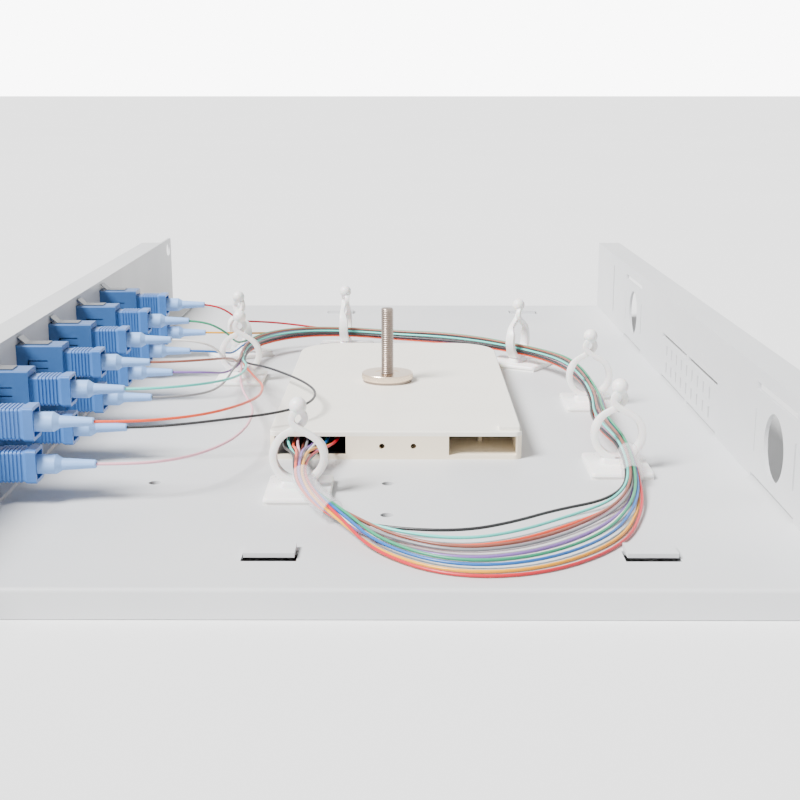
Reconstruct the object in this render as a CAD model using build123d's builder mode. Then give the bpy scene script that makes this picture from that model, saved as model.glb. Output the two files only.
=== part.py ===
"""Fiber termination box: a 1U rack tray with its cover off.

Six duplex adapters stand in the front panel, twelve pigtails run from their connectors
through ring clips to the splice cassette in the middle of the floor.
X runs along the rack's width, Y to the rear, Z up. Z = 0 is what the tray stands on.
"""

import os
from math import cos, pi, radians, sin, tan

from build123d import *

os.makedirs("parts", exist_ok=True)

# ---------------------------------------------------------------- driving dimensions, mm
BODY_W = 430.0  # between the side flanges
RACK_W = 482.6  # over the rack ears
INNER_D = 243.6  # front panel to rear wall
WALL_TOP = 43.2
SHEET = 1.2
FLOOR = 8.0  # top of the floor sheet
BEND_R = 2.2
LIP = 10.0  # stiffening lip along the top of the front panel and the rear wall
FRONT_FLANGE = 17.0  # foot of the front panel, on the floor

EAR_SLOT_X = 465.1 / 2
EAR_SLOT_Z = 31.75 / 2
EAR_SLOT = (10.0, 6.8)

ADAPTER_X = [147.0 - 42.5 * i for i in range(6)]
ADAPTER_Z = FLOOR + 18.0
ADAPTER_BOX = (9.5, 26.2)  # thickness across X, height
ADAPTER_FRONT_Y = -133.0
ADAPTER_REAR_Y = -105.7
PORT_PITCH = 12.7
PORT = (7.9, 9.5)
PORT_DEPTH = 12.6
FLANGE = (10.6, 30.0, 2.0)

GRIP = (7.4, 9.0)
GRIP_WALL = 0.75
GRIP_REAR_Y = -92.7
GRIP_LENGTH = 23.8
GRIP_PULL = 2.0
BOOT_TIP_Y = GRIP_REAR_Y + 16.6

GLAND_R = 10.25
KNOCKOUT_X = [142.0, -100.0]

CASSETTE_X = (-53.0, 101.0)
CASSETTE_Y = (-30.6, 51.9)
CASSETTE_H = 7.8
CASSETTE_WALL = 1.8
CASSETTE_FLOOR = 1.4
LID = 1.6
STUD_X, STUD_Y = 24.0, 6.9
STUD_R = 2.5
STUD_TOP = FLOOR + 37.5
NUT_R, NUT_H = 9.8, 2.4
WASHER_R, WASHER_H = 9.3, 0.9

FIBRE = 0.9
LANE = 1.1  # between the fibres of a tight bundle
RING_R, RING_BAND, RING_WIDTH = 8.8, 2.1, 4.0
RING_Z = FLOOR + 11.6
CLIP_BASE = (25.0, 20.0, 1.2)
PAD = 1.0

# Ring clips: place on the floor, and the direction a fibre passes through, in degrees.
CLIPS = [
    (138.0, -18.0, 0.0),
    (112.0, 81.2, 180.0),
    (25.0, 84.0, 180.0),
    (-49.0, 63.0, 240.0),
    (-88.0, -14.0, 265.0),
    (-71.0, -61.5, 125.0),
    (-18.0, -54.5, 0.0),
]


def write(piece, name):
    """Label a finished piece and write it."""
    piece.label = name
    export_step(piece, f"parts/{name}.step")


def slab(x, y, z, mode=Mode.ADD):
    """A plain block from its three (low, high) ranges, joined to the part or cut from it."""
    size = [high - low for low, high in (x, y, z)]
    middle = tuple((high + low) / 2 for low, high in (x, y, z))
    with Locations(middle):
        Box(*size, mode=mode)


def group(solids, name):
    """Several separate solids in one node."""
    write(Compound(children=list(solids)), name)


# ---------------------------------------------------------------- sheet-metal tray
rear_y = INNER_D / 2
tray_outline = [
    (-rear_y, FLOOR - SHEET),
    (rear_y + SHEET, FLOOR - SHEET),
    (rear_y + SHEET, WALL_TOP - SHEET),
    (rear_y + SHEET + LIP, WALL_TOP - SHEET),
    (rear_y + SHEET + LIP, WALL_TOP),
    (rear_y, WALL_TOP),
    (rear_y, FLOOR),
    (-rear_y, FLOOR),
]
side_x = BODY_W / 2


def slot(x, z, width, height):
    """Cut a slot through the rear wall; z is its low edge above the floor."""
    through = (rear_y - 2, rear_y + SHEET + 2)
    slab((x, x + width), through, (FLOOR + z, FLOOR + z + height), mode=Mode.SUBTRACT)


with BuildPart() as tray:
    with BuildSketch(Plane.YZ.offset(-side_x)):
        with BuildLine():
            Polyline(*tray_outline, close=True)
        make_face()
    extrude(amount=BODY_W)
    # Side edges of the floor are turned down.
    for side in (-1, 1):
        flange_x = sorted((side * side_x, side * (side_x - SHEET)))
        slab(flange_x, (-rear_y + 1, rear_y - 1), (0, FLOOR))
    fillet(
        [
            e
            for e in tray.edges().filter_by(Axis.Y)
            if abs(abs(e.center().X) - side_x) < 0.01 and abs(e.center().Z - FLOOR) < 0.01
        ],
        BEND_R - 1.1,
    )
    # Knock-outs for cable glands, joined to the wall by short bridges.
    with Locations(*[(x, rear_y, FLOOR + 15.0) for x in KNOCKOUT_X]):
        Cylinder(GLAND_R, 8, rotation=(90, 0, 0), mode=Mode.SUBTRACT)
    for x in KNOCKOUT_X:
        slot(x - 21.0, 28.4, 42.0, 2.4)
        slot(x - 23.0, 0.0, 46.0, 1.4)
        slot(x + 20.2, 8.5, 1.4, 13.8)
        slot(x - 21.0, 8.5, 0.7, 13.8)
    # Wide knock-out with two rows of vent slots.
    for x in (-27.0, 23.5):
        slot(x, 17.2, 47.5, 1.8)
        slot(x, 0.0, 47.5, 1.4)
    for row in (3.6, 10.6):
        for column in range(9):
            slot(-18.0 + column * 9.6, row, 2.2, 4.4)
    slot(-160.5, 6.0, 3.0, 24.0)
    # Floor: fixing holes, the stud's hole, and lanced tie tabs.
    with Locations((128.0, 8.4, FLOOR), (158.5, 8.5, FLOOR), (127.4, -63.3, FLOOR), (-112.0, 40.0, FLOOR)):
        Cylinder(1.9, 6, mode=Mode.SUBTRACT)
    with Locations((STUD_X, STUD_Y, FLOOR)):
        Cylinder(STUD_R + 0.1, 6, mode=Mode.SUBTRACT)
    for x, y in ((191.0, -21.4), (191.0, 77.5), (-191.0, -21.4), (-191.0, 77.5)):
        way = 1 if x > 0 else -1
        window = sorted((x - way * 3, x + way * 5))
        slab(window, (y - 7.2, y + 7.2), (FLOOR - 2, FLOOR + 1), mode=Mode.SUBTRACT)
        tab = sorted((x - way * 3.5, x + way * 3.4))
        slab(tab, (y - 6.6, y + 6.6), (FLOOR + 0.4, FLOOR + 1.6))
        root = sorted((x - way * 5.0, x - way * 3.0))
        slab(root, (y - 6.6, y + 6.6), (FLOOR - 0.4, FLOOR + 1.6))
write(tray.part, "base_tray")

# ---------------------------------------------------------------- front panel with rack ears
panel_y = (-rear_y - SHEET, -rear_y)
with BuildPart() as panel:
    slab((-side_x, side_x), panel_y, (0, WALL_TOP))
    slab((-side_x, side_x), (panel_y[0] - LIP, -rear_y), (WALL_TOP - SHEET, WALL_TOP))
    slab((-side_x + 1, side_x - 1), (-rear_y - 0.5, -rear_y + FRONT_FLANGE), (FLOOR, FLOOR + SHEET))
    for side in (-1, 1):
        with BuildSketch(Plane.XZ.offset(-panel_y[1])):
            with Locations((side * (side_x + RACK_W / 2) / 2, WALL_TOP / 2)):
                RectangleRounded((RACK_W - BODY_W) / 2, WALL_TOP, 2.0)
            with Locations((side * (side_x + 3), WALL_TOP / 2)):
                Rectangle(8, WALL_TOP)
            with Locations(
                (side * EAR_SLOT_X, WALL_TOP / 2 - EAR_SLOT_Z),
                (side * EAR_SLOT_X, WALL_TOP / 2 + EAR_SLOT_Z),
            ):
                SlotOverall(*EAR_SLOT, mode=Mode.SUBTRACT)
        extrude(amount=SHEET)
    for x in ADAPTER_X:
        cut_x, cut_z = ADAPTER_BOX[0] / 2 + 0.2, ADAPTER_BOX[1] / 2 + 0.2
        cut = ((x - cut_x, x + cut_x), (-rear_y - 3, -rear_y + 3), (ADAPTER_Z - cut_z, ADAPTER_Z + cut_z))
        slab(*cut, mode=Mode.SUBTRACT)
write(panel.part, "front_panel")

# Rivets join the panel's foot to the floor.
rivet_x = [-200.0, -110.0, -20.0, 83.0, 190.0]
with BuildPart() as rivet:
    with BuildSketch(Plane.XZ):
        with BuildLine():
            Polyline((0, 1.0), (1.2, 1.0), (2.4, 0.0), (0, 0), close=True)
        make_face()
    revolve(axis=Axis.Z)
group([Pos(x, -113.0, FLOOR + SHEET) * rivet.part for x in rivet_x], "panel_rivets")

# ---------------------------------------------------------------- duplex adapters
ports = [ADAPTER_Z + PORT_PITCH / 2, ADAPTER_Z - PORT_PITCH / 2]
adapter_mid_y = (ADAPTER_FRONT_Y + ADAPTER_REAR_Y) / 2
BARREL_R, BARREL_BORE = 2.1, 1.7
BARREL_LENGTH = 5.0


def adapter(x):
    """One duplex adapter: a housing with two sockets each side of a middle wall."""
    half = ADAPTER_BOX[0] / 2
    with BuildPart() as housing:
        z_range = (ADAPTER_Z - ADAPTER_BOX[1] / 2, ADAPTER_Z + ADAPTER_BOX[1] / 2)
        slab((x - half, x + half), (ADAPTER_FRONT_Y, ADAPTER_REAR_Y), z_range)
        fillet(housing.edges().filter_by(Axis.Y), 0.6)
        flange_z = (ADAPTER_Z - FLANGE[1] / 2, ADAPTER_Z + FLANGE[1] / 2)
        flange_y = (-rear_y - SHEET - FLANGE[2], -rear_y - SHEET)
        slab((x - FLANGE[0] / 2, x + FLANGE[0] / 2), flange_y, flange_z)
        for z in ports:
            socket_x = (x - PORT[0] / 2, x + PORT[0] / 2)
            socket_z = (z - PORT[1] / 2, z + PORT[1] / 2)
            rear = (ADAPTER_REAR_Y - PORT_DEPTH, ADAPTER_REAR_Y + 1)
            front = (ADAPTER_FRONT_Y - 1, ADAPTER_FRONT_Y + PORT_DEPTH)
            slab(socket_x, rear, socket_z, mode=Mode.SUBTRACT)
            slab(socket_x, front, socket_z, mode=Mode.SUBTRACT)
            # Key slot in the near wall of each socket.
            key_x = (x + PORT[0] / 2 - 0.1, x + half + 1)
            slab(key_x, (front[0], front[0] + 8), (z - 1.1, z + 1.1), mode=Mode.SUBTRACT)
            # Barrel that holds the alignment sleeve.
            reach = (ADAPTER_REAR_Y - ADAPTER_FRONT_Y) / 2 - PORT_DEPTH + BARREL_LENGTH
            with Locations((x, adapter_mid_y, z)):
                Cylinder(BARREL_R, 2 * reach, rotation=(90, 0, 0))
                Cylinder(BARREL_BORE, 2 * reach + 1, rotation=(90, 0, 0), mode=Mode.SUBTRACT)
            # A U-shaped cut frees the latch tongue in each side wall.
            for side in (-1, 1):
                wall_x = sorted((x + side * (PORT[0] / 2 - 0.2), x + side * (half + 1)))
                tongue = (-118.0, -111.0)
                for edge in (-1.6, 1.1):
                    slab(wall_x, tongue, (z + edge, z + edge + 0.5), mode=Mode.SUBTRACT)
                slab(wall_x, (tongue[0], tongue[0] + 0.6), (z - 1.6, z + 1.6), mode=Mode.SUBTRACT)
    return housing.part


for number, x in enumerate(ADAPTER_X, 1):
    write(adapter(x), f"adapter_{number}")

# Split sleeves line the ferrules up inside the barrels.
SLEEVE_R, SLEEVE_BORE, SLEEVE_LENGTH = 1.6, 1.27, 11.4
with BuildPart() as split_sleeve:
    Cylinder(SLEEVE_R, SLEEVE_LENGTH, rotation=(90, 0, 0))
    Cylinder(SLEEVE_BORE, SLEEVE_LENGTH + 1, rotation=(90, 0, 0), mode=Mode.SUBTRACT)
    with Locations((0, 0, SLEEVE_R)):
        Box(0.3, SLEEVE_LENGTH + 1, 1.2, mode=Mode.SUBTRACT)
group([Pos(x, adapter_mid_y, z) * split_sleeve.part for x in ADAPTER_X for z in ports], "alignment_sleeves")

# Spring clips on the top and bottom of each adapter press on the inside of the panel.
clip_profile = [(-111.0, 0.05), (-119.0, 0.05), (-121.3, 2.3), (-121.3, 2.7), (-118.8, 0.4), (-111.0, 0.4)]
with BuildPart() as spring_clip:
    with BuildSketch(Plane.YZ.offset(-3)):
        with BuildLine():
            Polyline(*clip_profile, close=True)
        make_face()
    extrude(amount=6)
clip_top = spring_clip.part
clip_bottom = clip_top.mirror(Plane.XY)
clip_z = ADAPTER_BOX[1] / 2
group(
    [Pos(x, 0, ADAPTER_Z + clip_z) * clip_top for x in ADAPTER_X]
    + [Pos(x, 0, ADAPTER_Z - clip_z) * clip_bottom for x in ADAPTER_X],
    "adapter_clips",
)

# ---------------------------------------------------------------- connectors
CAVITY = (GRIP[0] - 2 * GRIP_WALL, GRIP[1] - 2 * GRIP_WALL)
RIM_LENGTH, RIM_EXTRA = 3.8, 0.45
MOUTH_DEPTH, MOUTH = 5.0, (6.4, 7.8)
RIB_COUNT, RIB_PITCH = 6, 1.15
COLLAR_R, BOOT_R, BOOT_END_R = 2.9, 1.7, 1.25
FIBRE_BORE = FIBRE / 2 + 0.1

with BuildPart() as grip:
    with BuildSketch(Plane.XZ.offset(-GRIP_REAR_Y)):
        RectangleRounded(*GRIP, 0.8)
    extrude(amount=GRIP_LENGTH)
    # The rear rim flares out.
    rim = (GRIP[0] + 2 * RIM_EXTRA, GRIP[1] + 2 * RIM_EXTRA)
    with BuildSketch(Plane.XZ.offset(-GRIP_REAR_Y)):
        RectangleRounded(*rim, 0.8)
    extrude(amount=RIM_LENGTH - 1.0)
    with BuildSketch(Plane.XZ.offset(-GRIP_REAR_Y + RIM_LENGTH - 1.0)):
        RectangleRounded(*rim, 0.8)
    with BuildSketch(Plane.XZ.offset(-GRIP_REAR_Y + RIM_LENGTH)):
        RectangleRounded(*GRIP, 0.8)
    loft()
    # Finger ribs on the four sides, just in front of the rim.
    for rib in range(RIB_COUNT):
        rib_y = GRIP_REAR_Y - RIM_LENGTH - 0.6 - rib * RIB_PITCH
        with BuildSketch(Plane.XZ.offset(-rib_y)):
            RectangleRounded(GRIP[0] + 0.5, GRIP[1] + 0.5, 0.9)
        extrude(amount=0.55)
    cavity_y = (GRIP_REAR_Y - GRIP_LENGTH - 1, GRIP_REAR_Y + 1)
    slab((-CAVITY[0] / 2, CAVITY[0] / 2), cavity_y, (-CAVITY[1] / 2, CAVITY[1] / 2), mode=Mode.SUBTRACT)
    mouth_y = (GRIP_REAR_Y - MOUTH_DEPTH, GRIP_REAR_Y + 1)
    slab((-MOUTH[0] / 2, MOUTH[0] / 2), mouth_y, (-MOUTH[1] / 2, MOUTH[1] / 2), mode=Mode.SUBTRACT)

with BuildPart() as plug_frame:
    frame_y = (GRIP_REAR_Y - GRIP_LENGTH + 0.6, GRIP_REAR_Y - 2.4)
    frame_x = (-CAVITY[0] / 2 + 0.2, CAVITY[0] / 2 - 0.2)
    frame_z = (-CAVITY[1] / 2 + 0.2, CAVITY[1] / 2 - 0.2)
    slab(frame_x, frame_y, frame_z)
    chamfer(plug_frame.edges().filter_by(Axis.Y), 0.5)
    with Locations((0, frame_y[0] + 3.5, 0)):
        Cylinder(2.35, 7.0, rotation=(90, 0, 0), mode=Mode.SUBTRACT)
    with Locations((0, frame_y[0], 0)):
        Cylinder(1.3, 44, rotation=(90, 0, 0), mode=Mode.SUBTRACT)

with BuildPart() as ferrule:
    with BuildSketch(Plane.XZ.offset(-frame_y[1])):
        Circle(1.25)
    extrude(amount=frame_y[1] - adapter_mid_y - 0.1)
    chamfer(ferrule.faces().sort_by(Axis.Y)[0].edges(), 0.3)

boot_profile = [
    (FIBRE_BORE, GRIP_REAR_Y - 2.4),
    (COLLAR_R - 0.2, GRIP_REAR_Y - 2.4),
    (COLLAR_R, GRIP_REAR_Y - 2.0),
    (COLLAR_R, GRIP_REAR_Y + 5.0),
    (BOOT_R + 0.1, GRIP_REAR_Y + 6.8),
    (BOOT_END_R, BOOT_TIP_Y - 0.3),
    (BOOT_END_R - 0.2, BOOT_TIP_Y),
    (FIBRE_BORE, BOOT_TIP_Y),
]
with BuildPart() as boot:
    with BuildSketch(Plane.XY):
        with BuildLine():
            Polyline(*boot_profile, close=True)
        make_face()
    revolve(axis=Axis.Y)

for number, x in enumerate(ADAPTER_X, 1):
    for row, z in zip(("upper", "lower"), ports):
        write(Pos(x, 0, z) * grip.part, f"connector_grip_{number}_{row}")
places = [Pos(x, 0, z) for x in ADAPTER_X for z in ports]
group([place * plug_frame.part for place in places], "plug_frames")
group([place * ferrule.part for place in places], "ferrules")
group([place * boot.part for place in places], "connector_boots")

# ---------------------------------------------------------------- splice cassette
FAR_R, NEAR_R = 18.0, 2.5
CASSETTE_MID = ((CASSETTE_X[0] + CASSETTE_X[1]) / 2, (CASSETTE_Y[0] + CASSETTE_Y[1]) / 2)
CASSETTE_SIZE = (CASSETTE_X[1] - CASSETTE_X[0], CASSETTE_Y[1] - CASSETTE_Y[0])
LEFT_MOUTH = (-29.0, -5.7)
RIGHT_MOUTH = (28.0, 50.0)
MOUTH_Z = (FLOOR + CASSETTE_FLOOR, FLOOR + CASSETTE_H)


def cassette_slab(low, high, inset, mode=Mode.ADD):
    """A slab in the cassette's plan: large corners at the far end, small at the near end."""
    with BuildSketch(Plane.XY.offset(low)) as plan:
        with Locations(CASSETTE_MID):
            Rectangle(CASSETTE_SIZE[0] - 2 * inset, CASSETTE_SIZE[1] - 2 * inset)
        fillet(plan.vertices().group_by(Axis.X)[0], FAR_R - inset)
        fillet(plan.vertices().group_by(Axis.X)[-1], max(NEAR_R - inset, 0.5))
    extrude(plan.sketch, amount=high - low, mode=mode)


cassette_top = FLOOR + CASSETTE_H
with BuildPart() as cassette:
    cassette_slab(FLOOR, cassette_top, 0)
    cassette_slab(FLOOR + CASSETTE_FLOOR, cassette_top + 1, CASSETTE_WALL, Mode.SUBTRACT)
    near_wall = (CASSETTE_X[1] - CASSETTE_WALL - 1, CASSETTE_X[1] + 1)
    for mouth in (LEFT_MOUTH, RIGHT_MOUTH):
        slab(near_wall, mouth, (MOUTH_Z[0], MOUTH_Z[1] + 1), mode=Mode.SUBTRACT)
    side_mouth = (CASSETTE_Y[0] - 1, CASSETTE_Y[0] + CASSETTE_WALL + 1)
    slab((79.0, 97.0), side_mouth, (MOUTH_Z[0], MOUTH_Z[1] + 1), mode=Mode.SUBTRACT)
    with Locations(*[(CASSETTE_X[1], y, FLOOR + 4.4) for y in (6.1, 16.4)]):
        Cylinder(0.95, 8, rotation=(0, 90, 0), mode=Mode.SUBTRACT)
    # Boss round the stud, and guide posts that keep the fibres in wide loops.
    with Locations((STUD_X, STUD_Y, (FLOOR + cassette_top) / 2)):
        Cylinder(6.0, CASSETTE_H)
        Cylinder(STUD_R + 0.3, CASSETTE_H + 1, mode=Mode.SUBTRACT)
    post_height = CASSETTE_H - CASSETTE_FLOOR - 0.3
    posts = [(-32.0, -8.0), (-32.0, 30.0), (80.0, 14.0)]
    with Locations(*[(x, y, FLOOR + CASSETTE_FLOOR + post_height / 2) for x, y in posts]):
        Cylinder(4.0, post_height)
    # Partition inside the right mouth.
    slab((48.0, 84.0), (38.5, 39.7), (FLOOR + CASSETTE_FLOOR, cassette_top - 0.3))
write(cassette.part, "splice_cassette")

with BuildPart() as lid:
    cassette_slab(cassette_top, cassette_top + LID, 0)
    chamfer(lid.faces().sort_by(Axis.Z)[-1].edges(), 0.3)
    with Locations((STUD_X, STUD_Y, cassette_top)):
        Cylinder(STUD_R + 0.3, 8, mode=Mode.SUBTRACT)
    # Finger tab at the right-hand near corner.
    slab((93.5, 100.0), (44.5, 51.0), (cassette_top + LID - 0.2, cassette_top + LID + 1.2))
write(lid.part, "cassette_lid")

# Comb that holds twelve splice protectors in two layers.
COMB_X = (20.0, 44.0)
COMB_PITCH = 3.3
comb_y = [-25.6 + COMB_PITCH * i for i in range(6)]
PROTECTOR_R, PROTECTOR_LENGTH = 1.2, 40.0
layer_z = [FLOOR + CASSETTE_FLOOR + 0.6 + PROTECTOR_R, FLOOR + CASSETTE_FLOOR + 0.7 + 3 * PROTECTOR_R]
with BuildPart() as comb:
    comb_z = FLOOR + CASSETTE_FLOOR
    slab(COMB_X, (comb_y[0] - 2.2, comb_y[-1] + 2.2), (comb_z, comb_z + 0.5))
    for y in [comb_y[0] - COMB_PITCH] + comb_y:
        rib_mid = y + COMB_PITCH / 2
        slab(COMB_X, (rib_mid - 0.3, rib_mid + 0.3), (comb_z, comb_z + 5.6))
write(comb.part, "splice_comb")

with BuildPart() as protector:
    with Locations((0, 0, 0)):
        Cylinder(PROTECTOR_R, PROTECTOR_LENGTH, rotation=(0, 90, 0))
        Cylinder(FIBRE / 2 + 0.05, PROTECTOR_LENGTH + 1, rotation=(0, 90, 0), mode=Mode.SUBTRACT)
comb_mid = (COMB_X[0] + COMB_X[1]) / 2
group([Pos(comb_mid, y, z) * protector.part for z in layer_z for y in comb_y], "splice_protectors")

# ---------------------------------------------------------------- stud, washer and nuts
with BuildPart() as stud:
    with Locations((STUD_X, STUD_Y, (FLOOR - 7.5 + STUD_TOP) / 2)):
        Cylinder(STUD_R - 0.05, STUD_TOP - FLOOR + 7.5)
    chamfer(stud.edges().filter_by(GeomType.CIRCLE).sort_by(Axis.Z)[-1], 0.5)
write(stud.part, "centre_stud")

lid_top = cassette_top + LID
with BuildPart() as washer:
    with BuildSketch(Plane.XY.offset(lid_top)):
        with Locations((STUD_X, STUD_Y)):
            Circle(WASHER_R)
            Circle(STUD_R + 0.15, mode=Mode.SUBTRACT)
    extrude(amount=WASHER_H)
write(washer.part, "stud_washer")

nut_z = lid_top + WASHER_H + 0.02
KNURLS = 60
with BuildPart() as nut:
    with BuildSketch(Plane.XY.offset(nut_z)):
        with Locations((STUD_X, STUD_Y)):
            Circle(NUT_R)
            with PolarLocations(NUT_R + 0.12, KNURLS):
                Rectangle(0.5, 0.5, rotation=45, mode=Mode.SUBTRACT)
            Circle(STUD_R + 0.01, mode=Mode.SUBTRACT)
    extrude(amount=NUT_H)
write(nut.part, "knurled_nut")

with BuildPart() as lock_nut:
    with BuildSketch(Plane.XY.offset(FLOOR - SHEET - 4.0)):
        with Locations((STUD_X, STUD_Y)):
            RegularPolygon(4.0, 6, major_radius=False)
            Circle(STUD_R - 0.05, mode=Mode.SUBTRACT)
    extrude(amount=4.0)
write(lock_nut.part, "stud_fixing_nut")

# ---------------------------------------------------------------- ring clips
with BuildPart() as pad:
    with Locations((0, 0, PAD / 2)):
        Box(CLIP_BASE[0] - 1, CLIP_BASE[1] - 1, PAD)

ring_mid = RING_Z - FLOOR
with BuildPart() as ring_clip:
    with BuildSketch(Plane.XY.offset(PAD)):
        RectangleRounded(CLIP_BASE[0], CLIP_BASE[1], 1.5)
    extrude(amount=CLIP_BASE[2])
    with BuildSketch(Plane.YZ.offset(-RING_WIDTH / 2)):
        with Locations((0, ring_mid)):
            Circle(RING_R)
        with Locations((0, 3.2)):
            Rectangle(9.0, 2.6)
        # The two arms cross above the ring and end in a head with a small eye.
        with Locations((0, ring_mid + 11.2)):
            Circle(2.9)
        with Locations((0, ring_mid + 8.6)):
            Rectangle(4.0, 3.0)
        with Locations((0, ring_mid)):
            Circle(RING_R - RING_BAND, mode=Mode.SUBTRACT)
        with Locations((0, ring_mid + 11.2)):
            Circle(1.1, mode=Mode.SUBTRACT)
    extrude(amount=RING_WIDTH)
    with Locations((0, 0, ring_mid + 15.4)):
        Sphere(2.7)

for number, (x, y, turn) in enumerate(CLIPS, 1):
    write(Pos(x, y, FLOOR) * Rot(0, 0, turn) * ring_clip.part, f"ring_clip_{number}")
group([Pos(x, y, FLOOR) * Rot(0, 0, turn) * pad.part for x, y, turn in CLIPS], "adhesive_pads")


# ---------------------------------------------------------------- pigtails
# The twelve pigtails share one route from the cassette's mouth to the fifth ring clip.
# Each station: x, y, height above the floor, direction across the bundle in degrees,
# how far it is fanned out (0 a tight bundle, 1 side by side), half width of the fan,
# how loose the bundle is, and its twist about its own length in degrees.
BUNDLE = [
    (120.5, -18.2, 6.8, -90, 0.0, 0, 1.6, 180),
    (138.0, -17.8, 8.2, -84, 0.0, 0, 1.0, 180),
    (146.6, -16.6, 7.2, -77, 0.0, 0, 1.02, 144),
    (154.8, -13.6, 6.0, -66, 0.0, 0, 1.02, 108),
    (162.4, -9.2, 4.7, -57, 0.0, 0, 1.02, 72),
    (171.5, -2.6, 3.4, -48, 0.0, 0, 1.02, 32),
    (185.0, 9.5, 1.3, -35, 0.6, 12, 1.0, 0),
    (194.5, 27.0, 0.5, -12, 1.0, 14.5, 1.0, 0),
    (190.0, 46.0, 0.5, 10, 1.0, 17, 1.0, 0),
    (174.0, 64.0, 0.5, 35, 1.0, 14, 1.0, 0),
    (154.5, 77.0, 1.5, 60, 0.5, 9, 1.0, 0),
    (135.5, 82.8, 3.6, 80, 0.0, 0, 1.0, 0),
    (112.0, 83.4, 8.4, 94, 0.0, 0, 1.0, 0),
    (90.0, 80.8, 8.8, 91, 0.0, 0, 1.5, 0),
    (68.0, 81.6, 7.6, 87, 0.0, 0, 1.7, 0),
    (46.0, 84.2, 7.0, 87, 0.0, 0, 1.4, 0),
    (25.0, 84.4, 8.0, 91, 0.0, 0, 1.1, 0),
    (3.0, 83.0, 8.6, 96, 0.0, 0, 1.3, 0),
    (-17.0, 80.0, 8.2, 104, 0.0, 0, 1.4, 0),
    (-35.0, 73.6, 7.6, 118, 0.0, 0, 1.2, 0),
    (-49.0, 62.4, 7.8, 136, 0.0, 0, 1.1, 0),
    (-61.5, 46.5, 8.4, 145, 0.0, 0, 1.3, 0),
    (-73.0, 28.5, 8.2, 151, 0.0, 0, 1.4, 0),
    (-82.0, 8.5, 7.6, 160, 0.0, 0, 1.2, 0),
    (-87.5, -13.5, 8.2, 175, 0.0, 0, 1.1, 0),
]
# Where ten of them go on to the seventh clip, and eight of those through it.
TO_LAST_CLIP = [
    (-84.5, -34.5, 8.6, 198, 0.0, 0, 1.3, 0),
    (-72.0, -49.0, 8.4, 232, 0.0, 0, 1.4, 0),
    (-54.5, -56.0, 8.0, 258, 0.0, 0, 1.3, 0),
]
THROUGH_LAST_CLIP = [
    (-36.0, -56.6, 8.0, 270, 0.0, 0, 1.2, 0),
    (-18.0, -54.8, 8.6, 276, 0.0, 0, 1.1, 0),
]
# Place of each fibre in the tight bundle (across, up), in lanes, and in the fan.
LANES = [
    (-1.5, -0.4), (-1, 0.47), (-1, -1.27), (-0.5, -0.4), (-0.5, 1.33), (0, 0.47),
    (0, -1.27), (0.5, -0.4), (0.5, 1.33), (1, 0.47), (1, -1.27), (1.5, -0.4),
]  # fmt: skip
FAN = [-1.0, -0.72, -0.5, -0.34, -0.2, -0.06, 0.1, 0.26, 0.42, 0.6, 0.8, 1.0]
FAN_LIFT = [2.4, 1.3, 0.2, 0.2, 1.4, 1.2, 0.1, 0.1, 1.0, 0.8, 0.1, 0.1]
# From the clips to each connector: x, y and height above the floor. The fibres are in
# the order of the fan, inner one first.
TAILS = [
    ("2_lower", True, [(-2, -49, 10.5), (13, -41, 12.5), (31, -31.5, 13.6), (49, -22.5, 14.2), (67, -17, 14.6),
                       (84, -18.5, 14.6), (96, -28, 14.4), (101, -42, 13.8), (103.2, -56, 12.6)]),
    ("2_upper", True, [(0, -51, 12), (20, -47.5, 15), (43, -45, 17.6), (66, -44.6, 20.2), (86, -49, 22.6),
                       (99, -58.5, 24)]),
    ("1_upper", True, [(1, -48.5, 8), (20, -44, 9.4), (40, -40, 12.2), (60, -37, 15.4), (80, -34.8, 18.2),
                       (100, -34, 20.6), (118, -37.8, 22.2), (134.5, -46, 23.4), (144, -58, 24.1)]),
    ("1_lower", True, [(1, -52.5, 5.6), (20, -49.3, 4.6), (40, -44.4, 5.2), (60, -40.6, 7), (80, -38.8, 8.6),
                       (99, -38.8, 9.6), (118, -41.8, 10.2), (135, -49.5, 10.8), (144.2, -59, 11.4)]),
    ("3_upper", True, [(0, -54, 11.6), (20, -52, 17), (41, -52.4, 21.6), (55, -57.5, 23.8)]),
    ("3_lower", True, [(1, -56, 7.8), (19, -56, 7.8), (39, -56.6, 9.4), (54.4, -60, 11)]),
    ("4_lower", True, [(-3.6, -57.4, 7), (9, -59.4, 9), (16.4, -62, 10.9)]),
    ("4_upper", True, [(-3.4, -58.8, 11.4), (9.4, -58.8, 17.2), (16.6, -62, 22)]),
    ("5_upper", False, [(-38.5, -58.8, 12), (-27, -61.4, 19)]),
    ("5_lower", False, [(-39, -60.2, 7.6), (-27.6, -62, 9.8)]),
    ("6_lower", None, [(-90.5, -31, 7.2), (-87, -44.5, 7.6), (-79.8, -54.8, 8.8), (-71.6, -61, 10.2)]),
    ("6_upper", None, [(-92, -31.5, 9.8), (-88, -45.3, 12.2), (-80, -55, 14.2), (-71.2, -60.8, 15.8)]),
]  # fmt: skip


def in_bundle(station, rank):
    """The point where the fibre of this rank passes a station of the bundle."""
    x, y, height, across, fan, half_width, loose, twist = station
    lane, level = LANES[rank]
    turn_cos, turn_sin = cos(radians(twist)), sin(radians(twist))
    pitch = (1 - fan) * LANE * loose
    aside = pitch * (lane * turn_cos - level * turn_sin) + fan * FAN[rank] * half_width
    up = pitch * (lane * turn_sin + level * turn_cos) + fan * FAN_LIFT[rank]
    return (x + aside * cos(radians(across)), y + aside * sin(radians(across)), FLOOR + height + up)


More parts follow.
